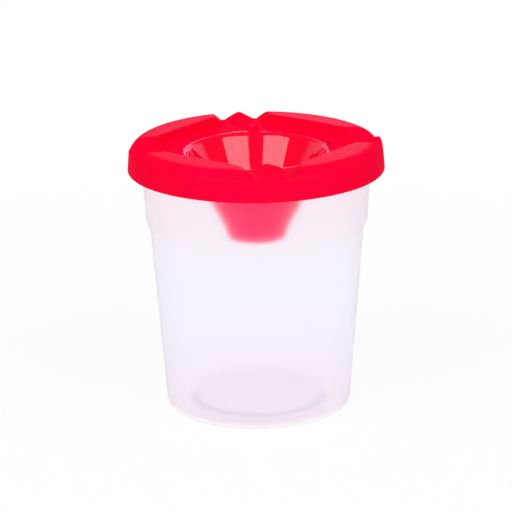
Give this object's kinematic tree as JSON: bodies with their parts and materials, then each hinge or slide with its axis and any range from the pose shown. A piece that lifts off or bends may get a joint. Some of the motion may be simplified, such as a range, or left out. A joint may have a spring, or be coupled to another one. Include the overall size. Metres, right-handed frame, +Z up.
{
  "type": "spill-proof paint pot",
  "caption": "Round tapered paint pot with a press-on lid whose funnel hangs inside, so paint stays in when it tips; the lid's notches hold resting brushes.",
  "frame": {"origin": "middle of the base, on the surface that the pot stands on", "axes": "+Z up along the pot's axis; the lid's brush notches lie along +X, -X, +Y and -Y"},
  "size_m": [0.0804, 0.0804, 0.0863],
  "materials": {
    "frosted_pot": "frosted, see-through polypropylene with a faint lilac tint",
    "red_lid": "glossy moulded polypropylene in a strong red"
  },
  "bodies": {
    "pot_body": {"pot": "frosted_pot"},
    "lid_body": {"lid": "red_lid"}
  },
  "joints": [
    {"name": "lid_lift", "type": "slide", "parent": "pot_body", "child": "lid_body", "axis": [0, 0, 1], "range_m": [0, 0.04]}
  ]
}
